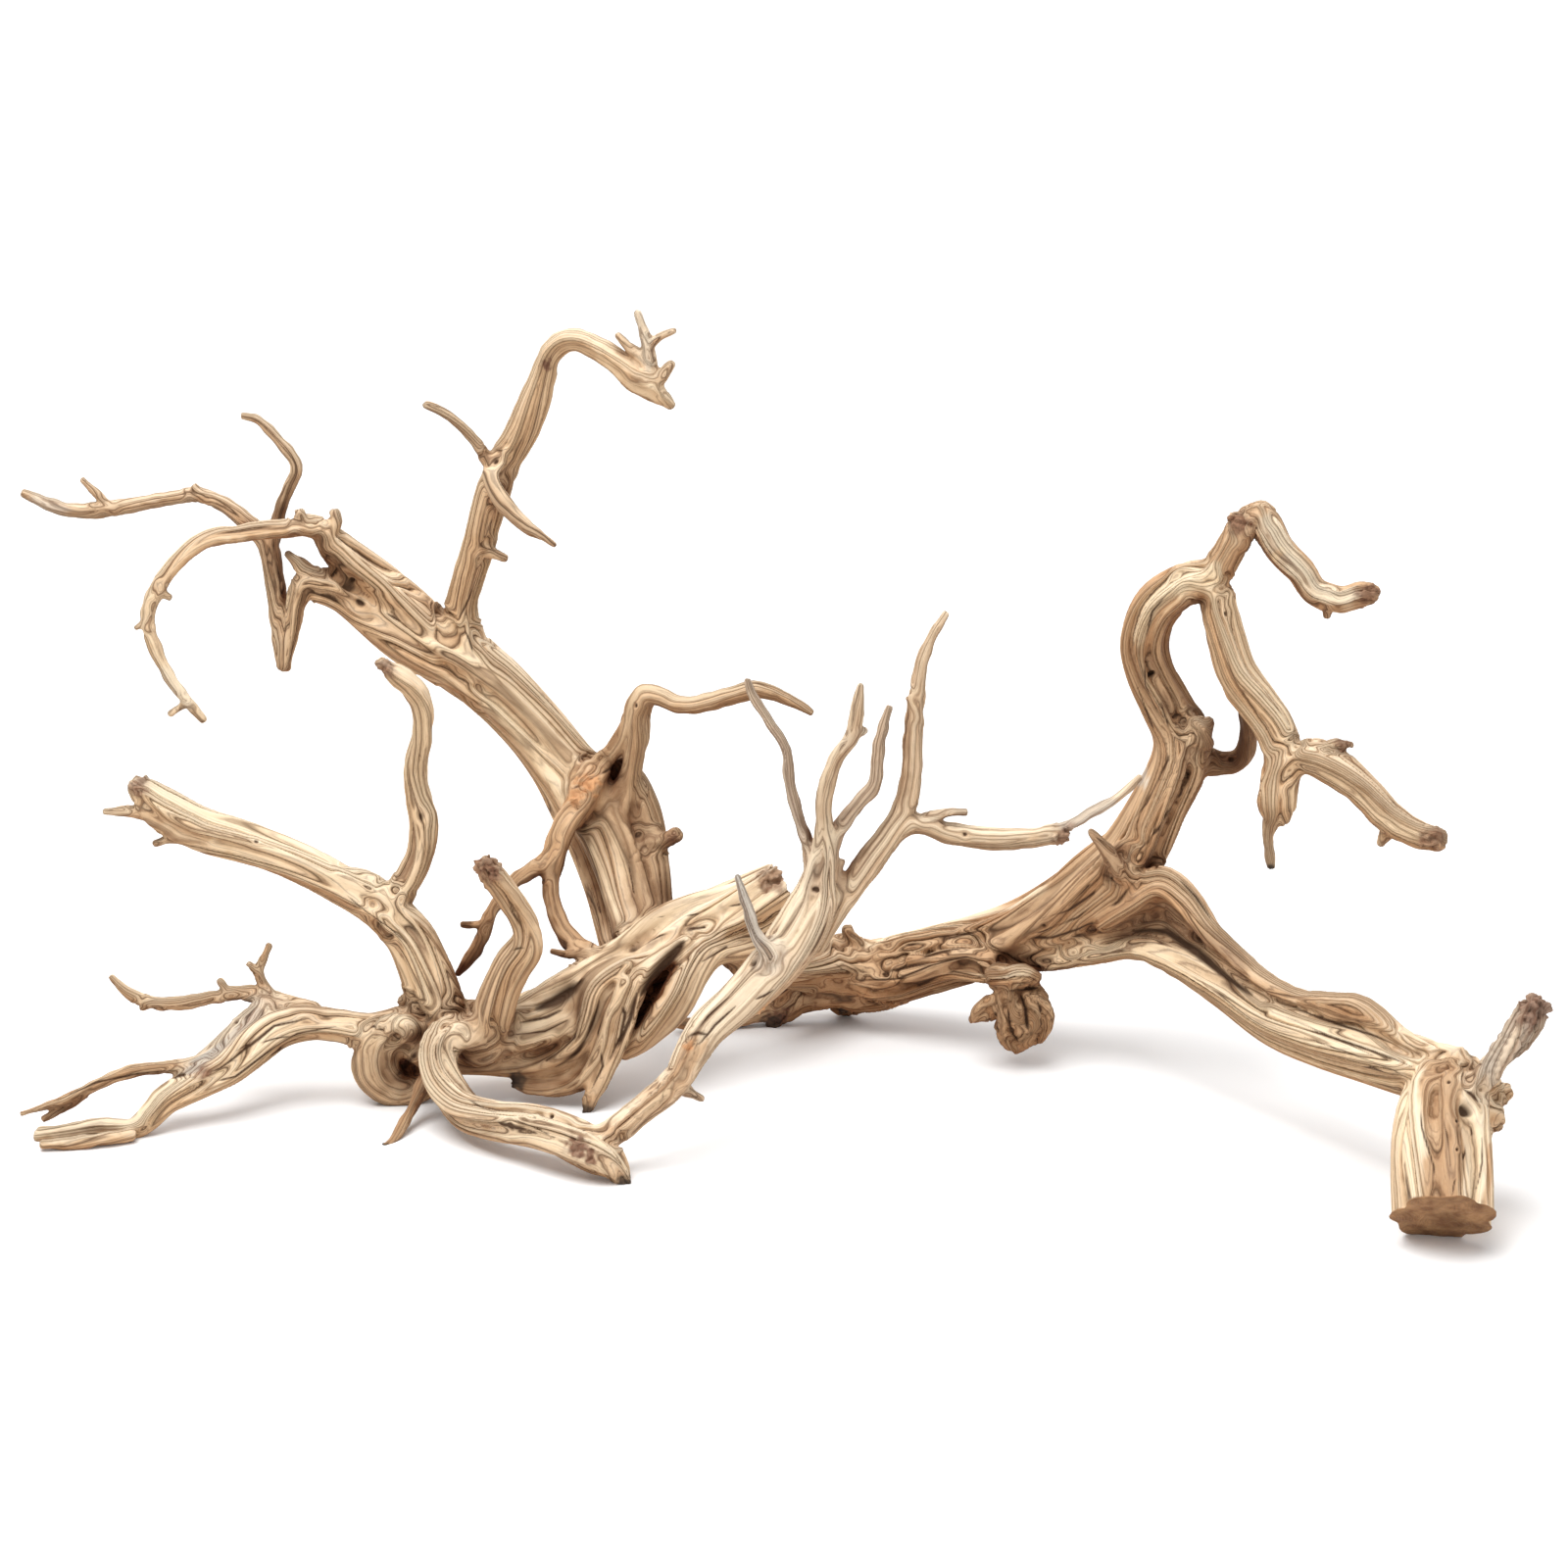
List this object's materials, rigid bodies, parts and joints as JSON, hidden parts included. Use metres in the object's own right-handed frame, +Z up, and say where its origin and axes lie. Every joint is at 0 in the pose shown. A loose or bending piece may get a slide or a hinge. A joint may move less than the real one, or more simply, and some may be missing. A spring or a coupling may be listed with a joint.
{
  "type": "ghost wood",
  "caption": "Weathered, bark-free desert wood branch with a fluted trunk, reaching bare limbs and twigs, and a sawn end; rests on a surface as decor or an animal's perch.",
  "frame": {"origin": "centre of the footprint, at the surface that the wood rests on", "axes": "+Z up from that surface, +X along the wood's longest extent towards the sawn block, +Y towards the tall limb at the back"},
  "size_m": [0.9, 0.3986, 0.4701],
  "materials": {
    "weathered_wood": "dry, bare and unfinished, bleached and sand-smoothed"
  },
  "bodies": {
    "root": {"ghost_wood": "weathered_wood"}
  },
  "joints": []
}
